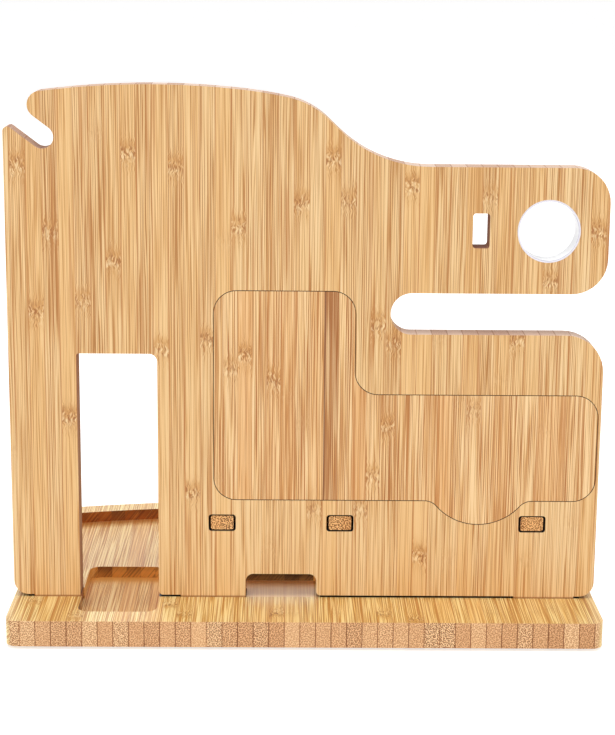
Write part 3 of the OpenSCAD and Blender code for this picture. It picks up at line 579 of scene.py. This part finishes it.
# Boxes around the window, the hook slot, the plug slot and the cable notch: x and height of the middle,
# width, height, and how far the walls in the box are browned, partly as painted shade
SLOTS = (
    (94.3, 75, 42, 136, 0.75), (131, 250, 31, 30, 0.35), (-85.1, 204.4, 10, 19, 0.85), (13, 21, 38, 14, 1.0))
# Boxes around the shelf's three mortises, around the cover's seat (stem, lower part and bump) and
# around the board's foot, in which the walls are painted dark as the shade in the gaps
SHADED_SEATS = (
    (42, 54.3, 15, 10), (-17.7, 54.3, 15, 10), (-115.2, 54.3, 15, 10),
    (11, 120.2, 72, 109), (-50.1, 94, 194, 57), (-87.5, 61, 58, 16), (0, 15.6, 290, 1.6))
# The cover's dark strip: its x, and the heights between which it grows darker
DARK_STRIP = (-12.5, 110.0, 172.0)


def wear_wood():
    wear("upright_board", bamboo(
        "bamboo_board", "Z", start=6.88, seed=11.0, look=BOARD, knots=BOARD_KNOTS, burn_and_shade=burn_and_shade_board))
    wear("base_tray", bamboo(
        "bamboo_base", "Y", start=2.55, seed=37.0, look=BASE, knots=BASE_KNOTS, burn_and_shade=burn_and_shade_tray))
    wear("charger_cover", bamboo(
        "bamboo_cover", "Z", start=5.6, seed=71.0, look=COVER, width=COVER_STRIP, knots=COVER_KNOTS,
        dark_strip=DARK_STRIP, burn_and_shade=char_and_shade_rim))
    wear("phone_shelf", bamboo(
        "bamboo_shelf", "Y", start=4.0, seed=53.0, look=SHELF, burn_and_shade=shade_tenons))
    round_edges("upright_board", 0.0005)
    round_edges("base_tray", 0.0008)
    round_edges("phone_shelf", 0.0005)
    round_edges("charger_cover", 0.0003, 2)


def middle(node):
    """Middle of a CAD node's box, in metres."""
    lo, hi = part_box(node)
    return (lo + hi) / 2


def wear_small_parts():
    ring = middle("puck_liner")
    wear("puck_liner", liner_plastic("white_plastic", ring.x, ring.z, LINER_BORE_R))
    wear("rubber_feet", plain("foot_rubber", srgb(34, 34, 35), srgb(56, 56, 58), 4.0, 0.8))
    for n in ("phone_ferrite", "buds_ferrite", "power_inductor"):
        wear(n, plain(n + "_ceramic", srgb(48, 48, 52), srgb(78, 78, 84), 5.0, 0.6))
    for n in ("phone_foam", "buds_foam"):
        wear(n, plain(n + "_cells", srgb(92, 92, 96), srgb(58, 58, 62), 2.2, 0.95, spread=0.8, depth=0.0002))
    for n in ("phone_leads", "buds_leads"):
        wear(n, plain(
            n + "_jacket", srgb(176, 34, 26), srgb(128, 20, 16), 2.0, 0.35, coat=0.3, stretch=(0.3, 1, 1)))
    wear("circuit_board", plain("solder_mask", srgb(24, 96, 52), srgb(12, 70, 38), 1.2, 0.35, coat=0.5))
    wear("board_screws", plain("screw_steel", srgb(176, 178, 182), srgb(140, 142, 148), 6.0, 0.35, metal=1.0))
    wear("socket_shell", plain(
        "socket_steel", srgb(188, 190, 194), srgb(158, 160, 166), 5.0, 0.28, metal=1.0, stretch=(0.2, 1, 1)))
    for n in ("socket_tongue", "control_chip", "bridge_chips"):
        wear(n, plain(n + "_resin", srgb(34, 34, 36), srgb(58, 58, 60), 6.0, 0.55))
    for n in ("resonant_capacitors", "input_capacitors"):
        wear(n, plain(n + "_ceramic", srgb(176, 148, 112), srgb(146, 118, 84), 5.0, 0.45))
    for n, pitch in (("phone_coil", 0.0011), ("buds_coil", 0.0009)):
        mid = middle(n)
        wear(n, wound(n + "_wire", mid.x, mid.z, pitch))


# Stage and light: how bright the world is on the object, and the floor's own glow where it is looked at
WORLD_LIGHT = 0.43
FLOOR_GLOW = 0.60
# Each lamp's name, its place, what it points at, its two sizes in metres and its power in watts
LAMPS = (
    ("key", (1.2, 1.8, 0.25), (0, 0, -0.1), (1.6, 0.6), 13.5),
    ("fill", (-1.3, 1.7, 0.25), (0, 0, -0.1), (1.4, 0.6), 10),
    ("top", (0.1, 0.4, 2.2), (0, 0.1, 0.0), (1.6, 1.2), 23),
    ("front", (0.3, -1.8, 1.5), (0, 0, 0.12), (1.8, 1.2), 13))


def make_floor():
    m = Tree("studio_white")
    coord = m.node("ShaderNodeTexCoord")
    paper = m.noise(coord.outputs["Object"], scale=60, detail=3)
    m.finish(m.mix(paper, (0.86, 0.86, 0.86, 1), (0.88, 0.88, 0.88, 1)), 0.9, specular=0.1)
    # White where the camera or a reflection looks at it, still darker where the object shades it
    path = m.node("ShaderNodeLightPath")
    seen = m.math("MAXIMUM", path.outputs["Is Camera Ray"], path.outputs["Is Glossy Ray"])
    seen = m.math("MAXIMUM", seen, path.outputs["Is Transmission Ray"])
    glow = m.node("ShaderNodeEmission")
    glow.inputs["Color"].default_value = (1, 1, 1, 1)
    m.put(glow.inputs["Strength"], m.mul(seen, FLOOR_GLOW))
    both = m.node("ShaderNodeAddShader")
    m.put(both.inputs[0], m.bsdf.outputs[0])
    m.put(both.inputs[1], glow.outputs[0])
    m.put(m.t.nodes["Material Output"].inputs["Surface"], both.outputs[0])
    bpy.ops.mesh.primitive_plane_add(size=80)
    floor = bpy.context.object
    floor.name = "floor"
    floor.data.materials.append(m.mat)


def make_world():
    """White where the camera or a reflection looks at it, and a soft light on the object."""
    world = bpy.data.worlds.new("studio")
    bpy.context.scene.world = world
    world.use_nodes = True
    t = world.node_tree
    back = t.nodes["Background"]
    back.inputs["Color"].default_value = (1, 1, 1, 1)
    path = t.nodes.new("ShaderNodeLightPath")
    seen = path.outputs["Is Camera Ray"]
    for ray in ("Is Glossy Ray", "Is Transmission Ray"):
        either = t.nodes.new("ShaderNodeMath")
        either.operation = "MAXIMUM"
        t.links.new(seen, either.inputs[0])
        t.links.new(path.outputs[ray], either.inputs[1])
        seen = either.outputs[0]
    strength = t.nodes.new("ShaderNodeMapRange")
    strength.inputs["To Min"].default_value = WORLD_LIGHT
    strength.inputs["To Max"].default_value = 1.0
    t.links.new(seen, strength.inputs["Value"])
    t.links.new(strength.outputs[0], back.inputs["Strength"])


def make_lamp(name, at, target, size, power):
    data = bpy.data.lights.new(name, "AREA")
    data.shape = "RECTANGLE"
    data.size, data.size_y = size
    data.energy = power
    lamp = bpy.data.objects.new(name, data)
    lamp.location = at
    lamp.rotation_euler = (Vector(target) - Vector(at)).to_track_quat("-Z", "Y").to_euler()
    bpy.context.scene.collection.objects.link(lamp)


wear_wood()
wear_small_parts()
make_camera()
make_floor()
make_world()
for lamp_values in LAMPS:
    make_lamp(*lamp_values)

bpy.context.scene.view_settings.view_transform = "Standard"
